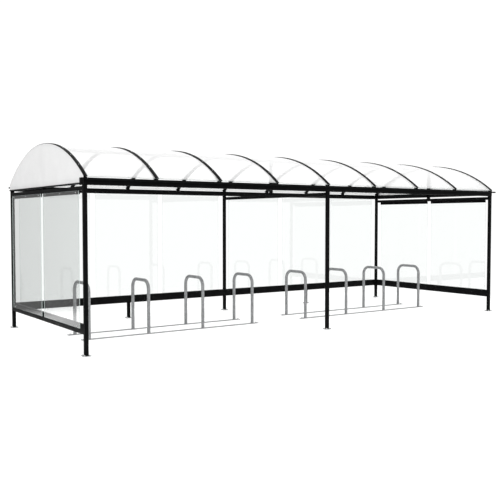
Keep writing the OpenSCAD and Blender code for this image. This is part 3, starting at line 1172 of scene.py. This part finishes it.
rack_anchor_spots = []
for place in ("left", "right"):
    node = f"bike_rack_{place}"
    low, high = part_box(node)
    middle = (low.x + high.x) / 2
    rows = (low.y + BAR_WIDTH / 2, high.y - BAR_WIDTH / 2)
    for k in range(HOOPS):
        x = middle + (k - (HOOPS - 1) / 2) * HOOP_PITCH
        made = hoop(f"{node}_hoop_{k + 1}", x, *rows, BAR_THICK, high.z)
        give(made, galvanised_tube, "rack_steel", node)
        beads = [hoop_weld(x, y, BAR_THICK) for y in rows]
        give(join(f"{node}_hoop_{k + 1}_welds", beads), galvanised_tube, "rack_steel")
    for row, y in zip(("front", "back"), rows):
        bar = block(f"{node}_bar_{row}", (low.x, y - BAR_WIDTH / 2, 0),
                    (high.x, y + BAR_WIDTH / 2, BAR_THICK))
        round_edges(bar, lambda a, b: min(a.z, b.z) > BAR_THICK * 0.9, BAR_EDGE, 2)
        ends = [(low.x + HOLE_INSET, y), (high.x - HOLE_INSET, y)]
        give(smooth(drill(bar, ends, BAR_HOLE, BAR_THICK)), galvanised_tube, "rack_steel")
        rack_anchor_spots += [Matrix.Translation((x, y, BAR_THICK)) for x, y in ends]
model = anchor("rack_anchor_model", thread=0.012)
set_copies("rack_anchors", model, rack_anchor_spots, plated_bolt, "rack_steel")
print(2 * HOOPS, "hoops,", len(rack_anchor_spots), "rack anchors")

# %% [markdown]
# ## Studio
# The shelter stands on a plain pale sheet that melts into the white of the
# room at its rim and glows a little, like a light table, so shadows stay
# faint. Light comes from a soft box overhead and from a bright room. One
# dark card stands off the back left corner, just where the end wall seen
# edge on mirrors it, so that glass reads as a soft grey. The camera itself
# looks into a white backdrop.

# %% Floor
FLOOR_SIZE = (12.4, 7.2)
FLOOR_FADE = 1.3
FLOOR_GLOW = 0.36
FLOOR_LEVEL = -0.0005


def make_floor_finish():
    """A pale sheet that fades out over the last stretch before its rim."""
    g = Graph(bpy.data.materials.new("pale_floor"))
    cloud = g.noise(1.5, 2.0)
    split = g.node("ShaderNodeSeparateXYZ", {}, {0: g.place()})
    inside = 1.0
    for axis in (0, 1):
        away = g.node("ShaderNodeMath", {"operation": "ABSOLUTE"}, {0: split[axis]})[0]
        inside = inside * g.range(away, 1.0, 0.0, FLOOR_SIZE[axis] / 2 - FLOOR_FADE, FLOOR_SIZE[axis] / 2)
    shader = g.node("ShaderNodeBsdfPrincipled", {}, {
        "Base Color": g.blend(cloud, (0.78, 0.78, 0.78, 1), (0.80, 0.80, 0.80, 1)),
        "Roughness": 0.9,
        "Specular IOR Level": 0.0,
        "Emission Color": (1, 1, 1, 1),
        "Emission Strength": FLOOR_GLOW,
        "Alpha": inside,
    })[0]
    return g.finish(shader)


floor = fresh(bpy.ops.mesh.primitive_plane_add, "studio_floor", size=1, location=(0, 0, FLOOR_LEVEL))
floor.scale = (*FLOOR_SIZE, 1)
settle(floor)
floor.data.materials.append(make_floor_finish())
floor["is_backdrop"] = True
print("floor", FLOOR_SIZE, "m")

# %% [markdown]
# ## Room and light
# The room is a world shader that reads only the way a ray goes. It has one
# level all round, a brighter one overhead and a fade to the dark card, found
# by the dot product of the ray with the way to the card. Rays straight from
# the camera get the backdrop's level instead, a touch over white.

# %% Room, card and soft box
BACKDROP = 1.08
ROOM = 1.1
OVERHEAD = 1.3
OVERHEAD_FADE = (0.05, 0.5)
CARD_WAY = (-0.334, 0.943, 0.0)
CARD_GREY = 0.22
CARD_FADE = (0.90, 0.965)
SOFT_BOX_PLACE = (0, -1.0, 9.0)
SOFT_BOX_SIZE = (16.0, 12.0)
SOFT_BOX_POWER = 120.0

room = bpy.data.worlds.new("bright_room")
bpy.context.scene.world = room
g = Graph(room)
way = g.node("ShaderNodeTexCoord")[0]
height = g.node("ShaderNodeSeparateXYZ", {}, {0: way})[2]
towards_card = g.node("ShaderNodeVectorMath", {"operation": "DOT_PRODUCT"}, {0: way, 1: CARD_WAY})[1]
sideways = g.range(towards_card, ROOM, CARD_GREY, *CARD_FADE)
overhead = g.range(height, 0.0, 1.0, *OVERHEAD_FADE)
glow = sideways + overhead * (OVERHEAD - sideways)
straight = g.node("ShaderNodeLightPath")[0]
level = straight * BACKDROP + (1.0 - straight) * glow
light = g.node("ShaderNodeBackground", {}, {"Color": (1, 1, 1, 1), "Strength": level})[0]
g.node("ShaderNodeOutputWorld", {}, {"Surface": light})

bpy.ops.object.light_add(type="AREA", location=SOFT_BOX_PLACE)
soft_box = bpy.context.object
soft_box.name = "soft_box"
soft_box.data.shape = "RECTANGLE"
soft_box.data.size, soft_box.data.size_y = SOFT_BOX_SIZE
soft_box.data.energy = SOFT_BOX_POWER
bpy.context.scene.view_settings.view_transform = "Standard"
print("room", ROOM, "overhead", OVERHEAD, "backdrop", BACKDROP)

# %% [markdown]
# ## Measure and finish
# The dressed shelter is meant to keep the imported model's size. Its box is
# measured as it is now and its size printed.

# %% Sizes and the last line
low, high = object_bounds()
print("dressed size", [round(b - a, 4) for a, b in zip(low, high)])
